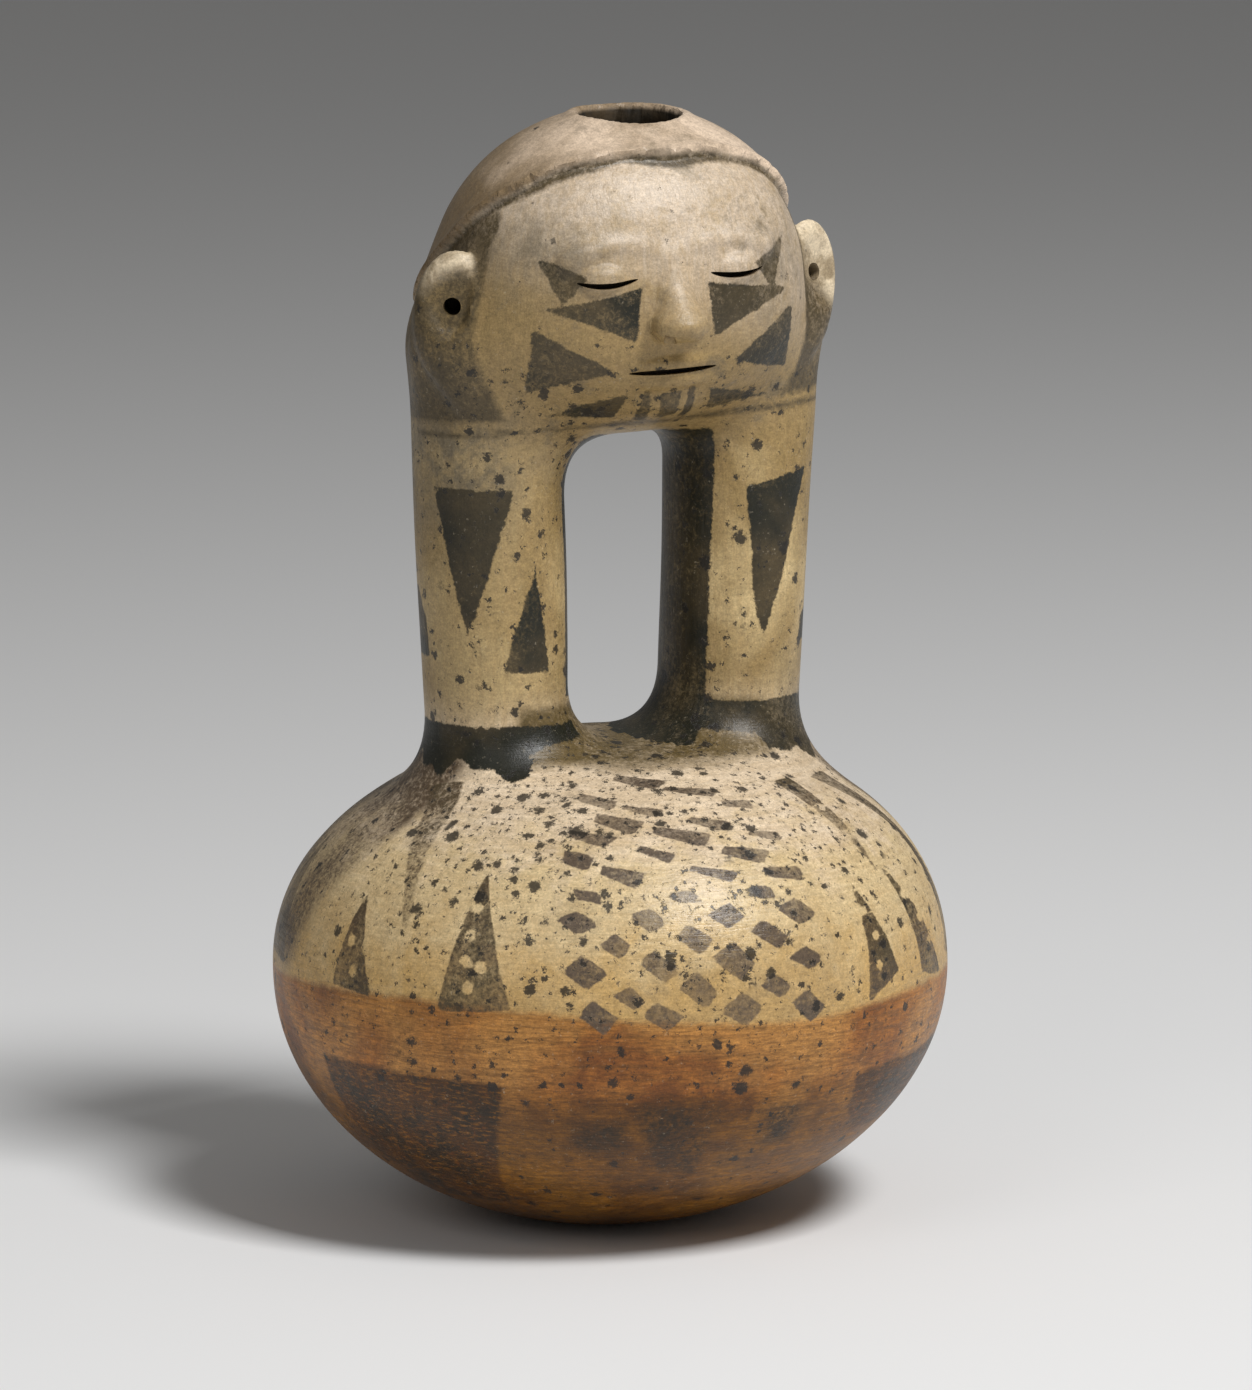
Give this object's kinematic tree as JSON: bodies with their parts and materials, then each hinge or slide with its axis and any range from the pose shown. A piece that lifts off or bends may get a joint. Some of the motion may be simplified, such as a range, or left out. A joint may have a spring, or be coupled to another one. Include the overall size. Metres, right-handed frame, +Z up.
{
  "type": "stirrup spout vessel",
  "caption": "Round-bodied clay bottle whose two hollow legs rise to a hollow head with closed eyes, pierced ear flanges and the mouth in its crown.",
  "frame": {"origin": "on the flat resting spot under the body, straight below the middle of the stirrup", "axes": "+Z up through the stirrup to the crown; the face looks along -Y; the two legs stand side by side along X"},
  "size_m": [0.1689, 0.1688, 0.2797],
  "materials": {
    "fired_clay": "burnished slip, satin"
  },
  "bodies": {
    "root": {"vessel": "fired_clay"}
  },
  "joints": []
}
